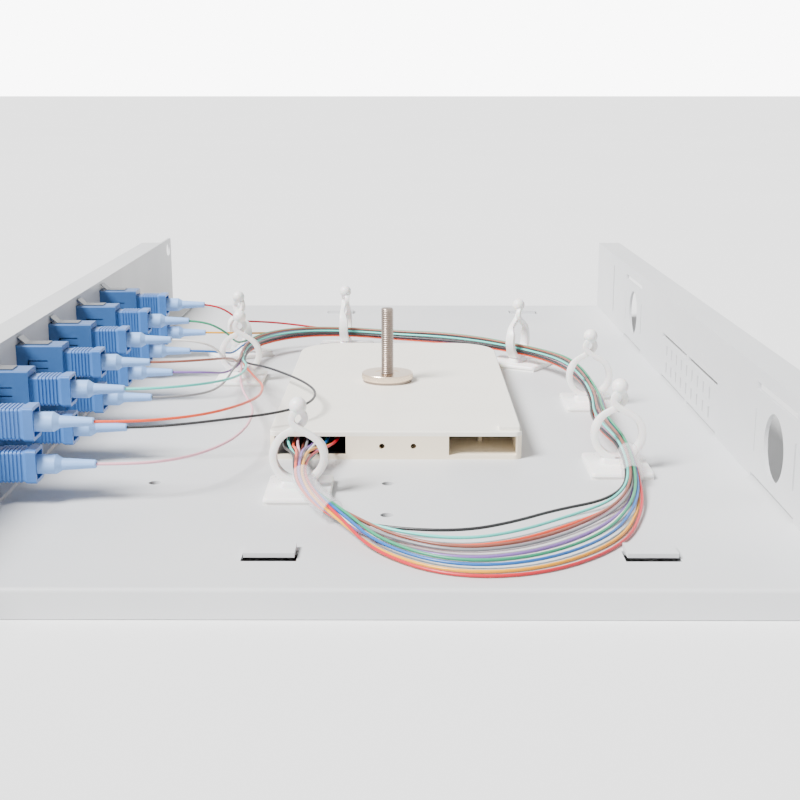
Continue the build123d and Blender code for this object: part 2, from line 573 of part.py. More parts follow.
def pigtail_route(rank):
    """A fibre's points, from its splice protector to inside its connector's boot."""
    name, last_clip, tail = TAILS[rank]
    comb_place = comb_y[rank // 2]
    level = layer_z[rank % 2]
    start_x = comb_mid + PROTECTOR_LENGTH / 2
    mouth_y = LEFT_MOUTH[0] + 2.2 + rank * 1.7
    points = [
        (start_x - 3, comb_place, level),
        (start_x + 12, comb_place, level),
        (start_x + 29, (comb_place + mouth_y) / 2 + 0.3, FLOOR + 4.4 + rank % 2 * 1.2),
        (CASSETTE_X[1] - 1, mouth_y, FLOOR + 4.2 + rank % 2 * 1.4),
    ]
    stations = BUNDLE + (TO_LAST_CLIP if last_clip is not None else []) + (THROUGH_LAST_CLIP if last_clip else [])
    points += [in_bundle(station, rank) for station in stations]
    points += [(x, y, FLOOR + height) for x, y, height in tail]
    number, row = name.split("_")
    x, z = ADAPTER_X[int(number) - 1], ports[row == "lower"]
    points += [(x, BOOT_TIP_Y + 6.0, z), (x, BOOT_TIP_Y - 2.6, z)]
    return points


def corner_radii(points):
    """The arc at each corner: as large as the two runs beside it allow."""
    spots = [Vector(*point) for point in points]
    runs = [b - a for a, b in zip(spots, spots[1:])]
    return [
        0.45 * min(a.length, b.length) / tan(radians(a.get_angle(b) / 2)) for a, b in zip(runs, runs[1:])
    ]


for rank, (name, _, _) in enumerate(TAILS):
    route = pigtail_route(rank)
    radii = corner_radii(route)
    with BuildPart() as pigtail:
        with BuildLine() as path:
            FilletPolyline(*route, radius=radii)
        course = path.wires()[0]
        with BuildSketch(Plane(origin=course @ 0, z_dir=course % 0)):
            Circle(FIBRE / 2)
        sweep(path=course)
    length = course.length
    fill = pigtail.part.volume / (pi * FIBRE**2 / 4 * length)
    print(f"pigtail_{name}: length {length:.0f}, smallest radius {min(radii):.1f}, volume ratio {fill:.4f}")
    write(pigtail.part, f"pigtail_{name}")

# Clear sleeves hold the bundle together beside the first two clips.
SLEEVE_TUBE = (2.7, 3.1)
SLEEVE_TURN_R = 40.0
SLEEVES = [
    [(143.4, -16.6, 7.4), (154.0, -14.5, 6.0), (166.5, -6.4, 3.9)],
    [(132.4, 82.6, 4.2), (127.4, 83.4, 5.0), (117.2, 83.5, 7.3)],
]
for number, points in enumerate(SLEEVES, 1):
    with BuildPart() as sleeve:
        with BuildLine() as path:
            FilletPolyline(*[(x, y, FLOOR + height) for x, y, height in points], radius=SLEEVE_TURN_R)
        course = path.wires()[0]
        with BuildSketch(Plane(origin=course @ 0, z_dir=course % 0)):
            Circle(SLEEVE_TUBE[1])
            Circle(SLEEVE_TUBE[0], mode=Mode.SUBTRACT)
        sweep(path=course)
    write(sleeve.part, f"clear_sleeve_{number}")
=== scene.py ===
"""Fiber termination box, open: looks, fibres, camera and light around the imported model."""

import math

import bmesh
import bpy
from mathutils import Matrix, Vector


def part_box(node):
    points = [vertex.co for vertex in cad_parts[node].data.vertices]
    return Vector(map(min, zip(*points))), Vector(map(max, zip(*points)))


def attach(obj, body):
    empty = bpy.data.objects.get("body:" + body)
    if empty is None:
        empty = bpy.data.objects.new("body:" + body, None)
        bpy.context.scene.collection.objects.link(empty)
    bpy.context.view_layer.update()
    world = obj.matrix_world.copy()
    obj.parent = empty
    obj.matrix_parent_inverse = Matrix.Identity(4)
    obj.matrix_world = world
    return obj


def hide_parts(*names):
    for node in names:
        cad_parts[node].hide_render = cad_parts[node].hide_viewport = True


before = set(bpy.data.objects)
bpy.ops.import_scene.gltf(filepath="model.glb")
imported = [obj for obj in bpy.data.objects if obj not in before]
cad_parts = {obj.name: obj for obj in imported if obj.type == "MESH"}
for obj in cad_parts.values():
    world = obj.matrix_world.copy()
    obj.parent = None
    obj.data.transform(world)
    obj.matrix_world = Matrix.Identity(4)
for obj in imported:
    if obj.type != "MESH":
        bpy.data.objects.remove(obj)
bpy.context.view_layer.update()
MM = 0.001
ROOT = "tray"
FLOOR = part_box("ring_clip_1")[0][2] - 1.0 * MM  # top of the tray's floor, under the adhesive pads

# ---------------------------------------------------------------- camera
# A long lens past the tray's right-hand end, looking along its width.
CAMERA_AT = (0.5105, 0.0136, FLOOR + 0.117)
CAMERA_PITCH = math.radians(13.33)
CAMERA_TURN = math.radians(90.22)
LENS, SENSOR = 58.5, 36.0


def add_camera():
    camera = bpy.data.cameras.new("camera")
    camera.lens, camera.sensor_width = LENS, SENSOR
    camera.clip_start = 0.01
    holder = bpy.data.objects.new("camera", camera)
    holder.location = CAMERA_AT
    holder.rotation_euler = (math.pi / 2 - CAMERA_PITCH, 0, CAMERA_TURN)
    bpy.context.collection.objects.link(holder)
    bpy.context.scene.camera = holder


# ---------------------------------------------------------------- fibres
# The twelve pigtails share one route from the cassette's mouth to the fifth ring clip.
# Each station: x, y, height above the floor in millimetres, direction across the bundle in
# degrees, how far it is fanned out, half width of the fan, how loose it is, and its twist.
BUNDLE = [
    (120.5, -18.2, 6.8, -90, 0.0, 0, 1.6, 180),
    (138.0, -17.8, 8.2, -84, 0.0, 0, 1.0, 180),
    (146.6, -16.6, 7.2, -77, 0.0, 0, 1.02, 144),
    (154.8, -13.6, 6.0, -66, 0.0, 0, 1.02, 108),
    (162.4, -9.2, 4.7, -57, 0.0, 0, 1.02, 72),
    (171.5, -2.6, 3.4, -48, 0.0, 0, 1.02, 32),
    (185.0, 9.5, 1.3, -35, 0.6, 12, 1.0, 0),
    (194.5, 27.0, 0.5, -12, 1.0, 14.5, 1.0, 0),
    (190.0, 46.0, 0.5, 10, 1.0, 17, 1.0, 0),
    (174.0, 64.0, 0.5, 35, 1.0, 14, 1.0, 0),
    (154.5, 77.0, 1.5, 60, 0.5, 9, 1.0, 0),
    (135.5, 82.8, 3.6, 80, 0.0, 0, 1.0, 0),
    (112.0, 83.4, 8.4, 94, 0.0, 0, 1.0, 0),
    (90.0, 80.8, 8.8, 91, 0.0, 0, 1.5, 0),
    (68.0, 81.6, 7.6, 87, 0.0, 0, 1.7, 0),
    (46.0, 84.2, 7.0, 87, 0.0, 0, 1.4, 0),
    (25.0, 84.4, 8.0, 91, 0.0, 0, 1.1, 0),
    (3.0, 83.0, 8.6, 96, 0.0, 0, 1.3, 0),
    (-17.0, 80.0, 8.2, 104, 0.0, 0, 1.4, 0),
    (-35.0, 73.6, 7.6, 118, 0.0, 0, 1.2, 0),
    (-49.0, 62.4, 7.8, 136, 0.0, 0, 1.1, 0),
    (-61.5, 46.5, 8.4, 145, 0.0, 0, 1.3, 0),
    (-73.0, 28.5, 8.2, 151, 0.0, 0, 1.4, 0),
    (-82.0, 8.5, 7.6, 160, 0.0, 0, 1.2, 0),
    (-87.5, -13.5, 8.2, 175, 0.0, 0, 1.1, 0),
]
# Where ten of them go on to the seventh clip, and eight of those through it.
TO_LAST_CLIP = [
    (-84.5, -34.5, 8.6, 198, 0.0, 0, 1.3, 0),
    (-72.0, -49.0, 8.4, 232, 0.0, 0, 1.4, 0),
    (-54.5, -56.0, 8.0, 258, 0.0, 0, 1.3, 0),
]
THROUGH_LAST_CLIP = [
    (-36.0, -56.6, 8.0, 270, 0.0, 0, 1.2, 0),
    (-18.0, -54.8, 8.6, 276, 0.0, 0, 1.1, 0),
]
# Place of each fibre in the tight bundle (across, up), in lanes, and in the fan.
LANES = [
    (-1.5, -0.4), (-1, 0.47), (-1, -1.27), (-0.5, -0.4), (-0.5, 1.33), (0, 0.47),
    (0, -1.27), (0.5, -0.4), (0.5, 1.33), (1, 0.47), (1, -1.27), (1.5, -0.4),
]  # fmt: skip
FAN = [-1.0, -0.72, -0.5, -0.34, -0.2, -0.06, 0.1, 0.26, 0.42, 0.6, 0.8, 1.0]
FAN_LIFT = [2.4, 1.3, 0.2, 0.2, 1.4, 1.2, 0.1, 0.1, 1.0, 0.8, 0.1, 0.1]
# From the clips to each connector: x, y and height above the floor. The fibres are in
# the order of the fan, inner one first.
TAILS = [
    ("2_lower", True, [(-2, -49, 10.5), (13, -41, 12.5), (31, -31.5, 13.6), (49, -22.5, 14.2),
                       (67, -17, 14.6), (84, -18.5, 14.6), (96, -28, 14.4), (101, -42, 13.8),
                       (103.2, -56, 12.6)]),
    ("2_upper", True, [(0, -51, 12), (20, -47.5, 15), (43, -45, 17.6), (66, -44.6, 20.2), (86, -49, 22.6),
                       (99, -58.5, 24)]),
    ("1_upper", True, [(1, -48.5, 8), (20, -44, 9.4), (40, -40, 12.2), (60, -37, 15.4), (80, -34.8, 18.2),
                       (100, -34, 20.6), (118, -37.8, 22.2), (134.5, -46, 23.4), (144, -58, 24.1)]),
    ("1_lower", True, [(1, -52.5, 5.6), (20, -49.3, 4.6), (40, -44.4, 5.2), (60, -40.6, 7), (80, -38.8, 8.6),
                       (99, -38.8, 9.6), (118, -41.8, 10.2), (135, -49.5, 10.8), (144.2, -59, 11.4)]),
    ("3_upper", True, [(0, -54, 11.6), (20, -52, 17), (41, -52.4, 21.6), (55, -57.5, 23.8)]),
    ("3_lower", True, [(1, -56, 7.8), (19, -56, 7.8), (39, -56.6, 9.4), (54.4, -60, 11)]),
    ("4_lower", True, [(-3.6, -57.4, 7), (9, -59.4, 9), (16.4, -62, 10.9)]),
    ("4_upper", True, [(-3.4, -58.8, 11.4), (9.4, -58.8, 17.2), (16.6, -62, 22)]),
    ("5_upper", False, [(-38.5, -58.8, 12), (-27, -61.4, 19)]),
    ("5_lower", False, [(-39, -60.2, 7.6), (-27.6, -62, 9.8)]),
    ("6_lower", None, [(-90.5, -31, 7.2), (-87, -44.5, 7.6), (-79.8, -54.8, 8.8), (-71.6, -61, 10.2)]),
    ("6_upper", None, [(-92, -31.5, 9.8), (-88, -45.3, 12.2), (-80, -55, 14.2), (-71.2, -60.8, 15.8)]),
]  # fmt: skip

FIBRE = 0.9  # over the jacket, in millimetres like the rest of this block
LANE = 1.1  # between the fibres of the tight bundle
COMB_Y, COMB_PITCH = -25.6, 3.3  # the splices' rows, two layers in each
PROTECTOR_END_X = 52.0
LAYERS = (3.2, 5.7)
MOUTH_X, MOUTH_Y = 100.0, -26.8
MOUTH_STEP = 1.7
BOOT_TIP_Y = -76.1
ADAPTER_X = [147.0 - 42.5 * i for i in range(6)]
PORT_HEIGHTS = {"upper": 24.35, "lower": 11.65}
# Colour of each jacket and the length of its fibre in metres.
JACKETS = {
    "2_lower": ("black", (0.012, 0.011, 0.012), 0.771),
    "2_upper": ("aqua", (0.1, 0.7, 0.6), 0.744),
    "1_upper": ("orange", (0.82, 0.085, 0.025), 0.801),
    "1_lower": ("rose", (0.88, 0.45, 0.54), 0.801),
    "3_upper": ("brown", (0.28, 0.085, 0.055), 0.711),
    "3_lower": ("grey", (0.24, 0.24, 0.25), 0.713),
    "4_lower": ("violet", (0.24, 0.13, 0.42), 0.677),
    "4_upper": ("white", (0.84, 0.82, 0.78), 0.686),
    "5_upper": ("green", (0.02, 0.3, 0.15), 0.646),
    "5_lower": ("blue", (0.01, 0.13, 0.44), 0.650),
    "6_lower": ("yellow", (0.82, 0.37, 0.006), 0.626),
    "6_upper": ("red", (0.56, 0.008, 0.022), 0.637),
}


def in_bundle(station, rank):
    """The point where the fibre of this rank passes a station of the bundle."""
    x, y, height, across, fan, half_width, loose, twist = station
    lane, level = LANES[rank]
    turn_cos, turn_sin = math.cos(math.radians(twist)), math.sin(math.radians(twist))
    pitch = (1 - fan) * LANE * loose
    aside = pitch * (lane * turn_cos - level * turn_sin) + fan * FAN[rank] * half_width
    up = pitch * (lane * turn_sin + level * turn_cos) + fan * FAN_LIFT[rank]
    across = math.radians(across)
    return (x + aside * math.cos(across), y + aside * math.sin(across), height + up)


def pigtail_route(rank):
    """A fibre's control points in metres, from its splice protector to its boot."""
    name, last_clip, tail = TAILS[rank]
    comb_place = COMB_Y + COMB_PITCH * (rank // 2)
    mouth_y = MOUTH_Y + rank * MOUTH_STEP
    second = rank % 2
    points = [
        (PROTECTOR_END_X - 3, comb_place, LAYERS[second]),
        (PROTECTOR_END_X + 12, comb_place, LAYERS[second]),
        (PROTECTOR_END_X + 29, (comb_place + mouth_y) / 2 + 0.3, 4.4 + second * 1.2),
        (MOUTH_X, mouth_y, 4.2 + second * 1.4),
    ]
    stations = list(BUNDLE)
    if last_clip is not None:
        stations += TO_LAST_CLIP
    if last_clip:
        stations += THROUGH_LAST_CLIP
    points += [in_bundle(station, rank) for station in stations]
    points += tail
    number, row = name.split("_")
    x, height = ADAPTER_X[int(number) - 1], PORT_HEIGHTS[row]
    points += [(x, BOOT_TIP_Y + 6.0, height), (x, BOOT_TIP_Y - 2.6, height)]
    return [(x * MM, y * MM, FLOOR + z * MM) for x, y, z in points]


def tube(name, points, radius, look):
    """A round tube along a smooth curve through these control points."""
    curve = bpy.data.curves.new(name, "CURVE")
    curve.dimensions = "3D"
    spline = curve.splines.new("NURBS")
    spline.points.add(len(points) - 1)
    for spot, point in zip(spline.points, points):
        spot.co = (*point, 1)
    spline.order_u = 3
    spline.use_endpoint_u = True
    curve.resolution_u = 6
    curve.bevel_depth, curve.bevel_resolution = radius, 3
    curve.use_fill_caps = True
    curve.materials.append(look)
    piece = bpy.data.objects.new(name, curve)
    bpy.context.collection.objects.link(piece)
    return piece


def make_pigtails():
    """Twelve jacketed fibres, each in its own colour."""
    for rank, (name, _, _) in enumerate(TAILS):
        shade, colour, length = JACKETS[name]
        look = finish(f"jacket_{shade}", colour, 0.34, 700, 0.00001, blotch=25.0, tone=0.10)
        route = pigtail_route(rank)
        fibre = tube(f"fibre_{name}", route, FIBRE / 2 * MM, look)
        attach(fibre, ROOT)
        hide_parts(f"pigtail_{name}")


# Middle line of each clear sleeve, start, pull and end: x, y and height above the floor in mm.
SLEEVES = [
    [(143.4, -16.6, 7.4), (154.0, -14.5, 6.0), (166.5, -6.4, 3.9)],
    [(132.4, 82.6, 4.2), (127.4, 83.4, 5.0), (117.2, 83.5, 7.3)],
]
SLEEVE_R, SLEEVE_RIPPLE = 3.0, 0.06


def make_sleeves():
    """Clear sleeves over the bundle, slightly rippled along their length."""
    steps, sides = 26, 28
    for number, points in enumerate(SLEEVES, 1):
        spots = [Vector((x * MM, y * MM, FLOOR + z * MM)) for x, y, z in points]
        rows = []
        for k in range(steps + 1):
            t = k / steps
            middle = spots[0] * (1 - t) ** 2 + spots[1] * 2 * t * (1 - t) + spots[2] * t * t
            along = ((spots[1] - spots[0]) * (1 - t) + (spots[2] - spots[1]) * t).normalized()
            aside = along.cross(Vector((0, 0, 1))).normalized()
            up = aside.cross(along)
            reach = (SLEEVE_R + SLEEVE_RIPPLE * math.sin(k * 1.9)) * MM
            ring = []
            for i in range(sides):
                angle = 2 * math.pi * i / sides
                ring.append(middle + aside * reach * math.cos(angle) + up * reach * math.sin(angle))
            rows.append(ring)
        verts, faces = rings_mesh(rows, sides, close_ends=False)
        sleeve = piece_from(f"sleeve_{number}", verts, faces, "clear")
        wall = sleeve.modifiers.new("wall", "SOLIDIFY")
        wall.thickness = 0.3 * MM
        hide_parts(f"clear_sleeve_{number}")


# ---------------------------------------------------------------- materials
def principled(name):
    """A new material: its node tree and its shader."""
    material = bpy.data.materials.new(name)
    material.use_nodes = True
    tree = material.node_tree
    return material, tree, tree.nodes["Principled BSDF"]


def noise(tree, scale, detail=3.0, rough=0.55, stretch=None):
    """A noise texture in the object's own space; stretch squeezes it along an axis."""
    place = tree.nodes.new("ShaderNodeTexCoord")
    texture = tree.nodes.new("ShaderNodeTexNoise")
    texture.inputs["Scale"].default_value = scale
    texture.inputs["Detail"].default_value = detail
    texture.inputs["Roughness"].default_value = rough
    if stretch:
        mapping = tree.nodes.new("ShaderNodeMapping")
        mapping.inputs["Scale"].default_value = stretch
        tree.links.new(place.outputs["Object"], mapping.inputs["Vector"])
        tree.links.new(mapping.outputs["Vector"], texture.inputs["Vector"])
    else:
        tree.links.new(place.outputs["Object"], texture.inputs["Vector"])
    return texture.outputs["Fac"]


def span(tree, value, low, high):
    """value, from 0.3 to 0.7, spread from low to high."""
    node = tree.nodes.new("ShaderNodeMapRange")
    node.inputs["From Min"].default_value = 0.3
    node.inputs["From Max"].default_value = 0.7
    node.inputs["To Min"].default_value = low
    node.inputs["To Max"].default_value = high
    tree.links.new(value, node.inputs["Value"])
    return node.outputs["Result"]


def shades(tree, value, dark, light):
    """A colour between dark and light."""
    ramp = tree.nodes.new("ShaderNodeValToRGB")
    ramp.color_ramp.elements[0].position = 0.3
    ramp.color_ramp.elements[1].position = 0.7
    ramp.color_ramp.elements[0].color = (*dark, 1)
    ramp.color_ramp.elements[1].color = (*light, 1)
    tree.links.new(value, ramp.inputs["Fac"])
    return ramp.outputs["Color"]


def bump(tree, value, depth):
    """Fine relief of this depth in metres."""
    node = tree.nodes.new("ShaderNodeBump")
    node.inputs["Strength"].default_value = 1.0
    node.inputs["Distance"].default_value = depth
    tree.links.new(value, node.inputs["Height"])
    return node.outputs["Normal"]


def finish(name, colour, rough, grain, depth, blotch=40.0, tone=0.06, metal=0.0, **sockets):
    """A moulded, painted or machined surface.

    grain is the fine texture's scale and depth its height; blotch and tone give slow
    changes of colour. sockets are constants of the shader.
    """
    material, tree, shader = principled(name)
    slow = noise(tree, blotch, 4.0)
    fine = noise(tree, grain, 2.0)
    dark = [c * (1 - tone) for c in colour]
    light = [min(c * (1 + tone), 1) for c in colour]
    tree.links.new(shades(tree, slow, dark, light), shader.inputs["Base Color"])
    tree.links.new(span(tree, fine, rough - 0.06, rough + 0.06), shader.inputs["Roughness"])
    tree.links.new(bump(tree, fine, depth), shader.inputs["Normal"])
    shader.inputs["Metallic"].default_value = metal
    for socket, value in sockets.items():
        shader.inputs[socket].default_value = value
    return material


def worn_sheet():
    """Powder coat: orange peel, faint mottling, and a few faint rub marks."""
    material, tree, shader = principled("powder_coat")
    slow = noise(tree, 14.0, 5.0)
    peel = noise(tree, 2200.0, 2.0)
    rubs = noise(tree, 60.0, 6.0, 0.7, stretch=(1.0, 9.0, 1.0))
    base = shades(tree, slow, (0.62, 0.63, 0.645), (0.68, 0.685, 0.69))
    tree.links.new(base, shader.inputs["Base Color"])
    tree.links.new(span(tree, rubs, 0.34, 0.46), shader.inputs["Roughness"])
    shader.inputs["Specular IOR Level"].default_value = 0.3
    tree.links.new(bump(tree, peel, 0.00002), shader.inputs["Normal"])
    return material


def clear_tube():
    """Clear soft tube with faint rings left by its extrusion."""
    material, tree, shader = principled("clear_tube")
    rings = noise(tree, 900.0, 2.0)
    tree.links.new(shades(tree, rings, (0.90, 0.86, 0.92), (0.98, 0.97, 0.99)), shader.inputs["Base Color"])
    tree.links.new(span(tree, rings, 0.12, 0.25), shader.inputs["Roughness"])
    tree.links.new(bump(tree, rings, 0.00005), shader.inputs["Normal"])
    shader.inputs["Alpha"].default_value = 0.17
    return material


def inside(tree, low, high):
    """1 within a box of the object's own space, 0 elsewhere."""
    place = tree.nodes.new("ShaderNodeTexCoord")
    split = tree.nodes.new("ShaderNodeSeparateXYZ")
    tree.links.new(place.outputs["Object"], split.inputs[0])
    result = None
    for axis in range(3):
        for limit, test in ((low[axis], "GREATER_THAN"), (high[axis], "LESS_THAN")):
            node = tree.nodes.new("ShaderNodeMath")
            node.operation = test
            node.inputs[1].default_value = limit
            tree.links.new(split.outputs[axis], node.inputs[0])
            if result is None:
                result = node.outputs[0]
                continue
            both = tree.nodes.new("ShaderNodeMath")
            both.operation = "MULTIPLY"
            tree.links.new(result, both.inputs[0])
            tree.links.new(node.outputs[0], both.inputs[1])
            result = both.outputs[0]
    return result


def cream_abs_bay_shade(name, colour):
    """Cream plastic, with painted shade: near-black inside the covered splice cavity behind the left mouth.
    """
    material = finish(name, colour, 0.42, 1400, 0.00003, tone=0.02)
    tree = material.node_tree
    shader = tree.nodes["Principled BSDF"]
    cream = shader.inputs["Base Color"].links[0].from_socket
    # Painted shade: the covered splice cavity behind the left mouth is mixed to near-black over the cream.
    bay_shade = inside(tree, (-0.028, -0.0295, FLOOR + 0.00135), (0.0992, 0.003, FLOOR + 0.00785))
    mix = tree.nodes.new("ShaderNodeMix")
    mix.data_type = "RGBA"
    mix.inputs["B"].default_value = (0.012, 0.012, 0.014, 1)
    tree.links.new(bay_shade, mix.inputs["Factor"])
    tree.links.new(cream, mix.inputs["A"])
    tree.links.new(mix.outputs["Result"], shader.inputs["Base Color"])
    return material


NYLON = {"Subsurface Weight": 0.2, "Subsurface Scale": 0.001, "Specular IOR Level": 0.45}
LOOKS = {
    "sheet": worn_sheet(),
    "adapter": finish("adapter_blue", (0.040, 0.125, 0.33), 0.38, 1800, 0.00002, tone=0.10),
    "grip": finish("grip_blue", (0.058, 0.185, 0.50), 0.36, 1800, 0.00002, tone=0.08),
    "boot": finish("boot_blue", (0.27, 0.48, 0.88), 0.46, 1500, 0.00003, tone=0.07),
    "frame": finish("plug_frame_white", (0.72, 0.74, 0.78), 0.40, 1800, 0.00002),
    "spring": finish("spring_steel", (0.20, 0.21, 0.23), 0.34, 900, 0.00001, metal=1.0),
    "zirconia": finish("zirconia", (0.86, 0.84, 0.78), 0.18, 2500, 0.000004),
    "cassette": cream_abs_bay_shade("cream_abs_bay_shade", (0.90, 0.79, 0.62)),
    "lid": cream_abs_bay_shade("lid_abs", (0.93, 0.89, 0.80)),
    "comb": finish("comb_black", (0.02, 0.02, 0.022), 0.55, 1400, 0.00003, tone=0.2),
    "protector": finish("shrink_tube", (0.30, 0.31, 0.33), 0.25, 1200, 0.00002),
    "stud": finish("stud_steel", (0.30, 0.245, 0.21), 0.30, 1600, 0.00002, tone=0.15, metal=1.0),
    "nut": finish("nut_nickel", (0.86, 0.70, 0.55), 0.24, 1400, 0.00001, tone=0.10, metal=1.0),
    "nylon": finish("clip_nylon", (0.97, 0.945, 0.92), 0.32, 900, 0.00003, tone=0.02, **NYLON),
    "foam": finish("pad_foam", (0.93, 0.91, 0.87), 0.8, 2600, 0.00012, tone=0.04),
    "clear": clear_tube(),
}

# Which CAD node wears which look, by the start of its name.
NODE_LOOKS = {
    "base_tray": "sheet",
    "front_panel": "sheet",
    "panel_rivets": "sheet",
    "adapter_clips": "spring",
    "adapter_": "adapter",
    "alignment_sleeves": "zirconia",
    "ferrules": "zirconia",
    "connector_grip": "grip",
    "connector_boots": "boot",
    "plug_frames": "frame",
    "splice_cassette": "cassette",
    "cassette_lid": "lid",
    "splice_comb": "comb",
    "splice_protectors": "protector",
    "stud_": "stud",
    "knurled_nut": "nut",
    "ring_clip": "nylon",
    "adhesive_pads": "foam",
}


def dress_nodes():
    """Give each CAD node that stays visible its material."""
    for name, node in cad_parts.items():
        look = next((look for start, look in NODE_LOOKS.items() if name.startswith(start)), None)
        if look:
            node.data.materials.clear()
            node.data.materials.append(LOOKS[look])


def soften(names, width):
    """Small rounded edges on moulded and pressed CAD nodes."""
    for name in names:
        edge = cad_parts[name].modifiers.new("edge", "BEVEL")
        edge.width, edge.segments = width, 2
        edge.limit_method, edge.angle_limit = "ANGLE", math.radians(40)


def piece_from(name, verts, faces, look, body=ROOT):
    """A mesh piece that rides on a body."""
    mesh = bpy.data.meshes.new(name)
    mesh.from_pydata(verts, [], faces)
    mesh.validate()
    mesh.polygons.foreach_set("use_smooth", [True] * len(mesh.polygons))
    mesh.materials.append(LOOKS[look])
    piece = bpy.data.objects.new(name, mesh)
    bpy.context.collection.objects.link(piece)
    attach(piece, body)
    return piece


def rings_mesh(rows, count, close_ends=True):
    """Quads between rows of points; each row is a closed ring of count points."""
    verts = [point for row in rows for point in row]
    faces = []
    for r in range(len(rows) - 1):
        for i in range(count):
            j = (i + 1) % count
            a = r * count
            faces.append((a + i, a + j, a + count + j, a + count + i))
    if close_ends:
        faces.append(tuple(reversed(range(count))))
        faces.append(tuple((len(rows) - 1) * count + i for i in range(count)))
    return verts, faces


# ---------------------------------------------------------------- stud and nut
THREAD_PITCH = 0.8 * MM
THREAD_DEPTH = 0.42 * MM
STUD_CHAMFER = 0.6 * MM
STUD_SIDES = 28
ROWS_PER_TURN = 6


def make_stud():
    """The centre stud with its rolled thread."""
    low, high = (Vector(corner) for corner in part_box("centre_stud"))
    x, y = (low.x + high.x) / 2, (low.y + high.y) / 2
    radius = (high.x - low.x) / 2
    count = int((high.z - low.z) / THREAD_PITCH * ROWS_PER_TURN)
    rows = []
    for r in range(count + 1):
        z = low.z + (high.z - low.z) * r / count
        limit = radius - max(0, STUD_CHAMFER - (high.z - z), STUD_CHAMFER - (z - low.z)) * 0.8
        row = []
        for i in range(STUD_SIDES):
            turn = i / STUD_SIDES
            phase = ((z - low.z) / THREAD_PITCH - turn) % 1
            groove = THREAD_DEPTH * (1 - abs(2 * phase - 1))
            reach = min(radius - groove, limit)
            angle = 2 * math.pi * turn
            row.append((x + reach * math.cos(angle), y + reach * math.sin(angle), z))
        rows.append(row)
    stud = piece_from("threaded_stud", *rings_mesh(rows, STUD_SIDES), "stud")
    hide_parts("centre_stud")


KNURL_TEETH = 72
KNURL_DEPTH = 0.22 * MM
NUT_STEPS = 6
NUT_BORE, NUT_EDGE = 2.52 * MM, 0.28 * MM


def make_nut():
    """The flat nut: a knurled rim, a chamfered top and a turned face."""
    low, high = (Vector(corner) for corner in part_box("knurled_nut"))
    x, y = (low.x + high.x) / 2, (low.y + high.y) / 2
    radius = (high.x - low.x) / 2
    bore = NUT_BORE
    count = KNURL_TEETH * 4
    edge = NUT_EDGE
    rise = high.z - low.z
    # Radius and height of each ring, and how much of the knurl it carries.
    outline = [(bore, 0, 0), (radius - 3 * edge, 0, 0), (radius - edge, 0, 0.2), (radius, edge, 1)]
    outline += [(radius, edge + (rise - 2 * edge) * s / NUT_STEPS, 1) for s in range(1, NUT_STEPS)]
    outline += [(radius, rise - edge, 1), (radius - edge, rise, 0.2), (radius - 2.5 * edge, rise, 0)]
    outline += [(4.9 * MM, rise - 0.02 * MM, 0), (4.6 * MM, rise - 0.25 * MM, 0)]
    outline += [(3.1 * MM, rise - 0.25 * MM, 0), (bore, rise - 0.7 * MM, 0), (bore, 0, 0)]
    rows = []
    for reach, height, knurl in outline:
        row = []
        for i in range(count):
            angle = 2 * math.pi * i / count
            across = KNURL_TEETH * angle / (2 * math.pi)
            lean = height / rise * 2.0
            cross = abs(((across + lean) % 1) - 0.5) + abs(((across - lean) % 1) - 0.5)
            r = reach - knurl * KNURL_DEPTH * (1 - cross)
            row.append((x + r * math.cos(angle), y + r * math.sin(angle), low.z + height))
        rows.append(row)
    nut = piece_from("flat_nut", *rings_mesh(rows, count, close_ends=False), "nut", body="nut")
    weld(nut)
    crease_shading(nut, 35)
    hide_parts("knurled_nut")


def weld(piece):
    """Join the points that coincide and turn all faces outwards."""
    work = bmesh.new()
    work.from_mesh(piece.data)
    bmesh.ops.remove_doubles(work, verts=work.verts, dist=1e-7)
    bmesh.ops.recalc_face_normals(work, faces=work.faces)
    work.to_mesh(piece.data)
    work.free()


def crease_shading(piece, degrees):
    """Smooth shading with sharp edges over the given angle."""
    piece.data.polygons.foreach_set("use_smooth", [True] * len(piece.data.polygons))
    piece.data.set_sharp_from_angle(angle=math.radians(degrees))


# ---------------------------------------------------------------- ring clips
CLIP_TURNS = [0, 180, 180, 240, 265, 125, 0]  # degrees, the way a fibre passes through
RING_MID = 11.6 * MM  # above the floor
RING_R = 7.6 * MM  # middle of the band
BAND = 2.4 * MM
BAND_WIDTH = 3.9 * MM
STRIP_SIDES = 12
# Width, depth, height, lift, slope of the sides and corner radius, in millimetres.
CLIP_FOOT = (24.8, 19.8, 1.2, 1.0, 0.5, 1.6)
CLIP_PEDESTAL = (5.2, 11.5, 2.3, 2.1, 1.2, 1.6)
HEAD_R, HEAD_RISE = 2.65 * MM, 15.4 * MM


def arm_path(side):
    """Middle of one arm, (y, z): round the ring, over the crossing, round the small loop."""
    path = []
    for k in range(29):
        angle = math.radians(-98 + 158 * k / 28)
        path.append(Vector((RING_R * math.cos(angle), RING_R * math.sin(angle))))
    start = path[-1]
    pull = [start, start + Vector((-3.98, 2.3)) * MM, Vector((-4.6, 10.6)) * MM, Vector((0, 14.3)) * MM]
    for k in range(1, 19):
        t = k / 18
        s = 1 - t
        path.append(s**3 * pull[0] + 3 * s * s * t * pull[1] + 3 * s * t * t * pull[2] + t**3 * pull[3])
    return [(side * y, RING_MID + z) for y, z in path]


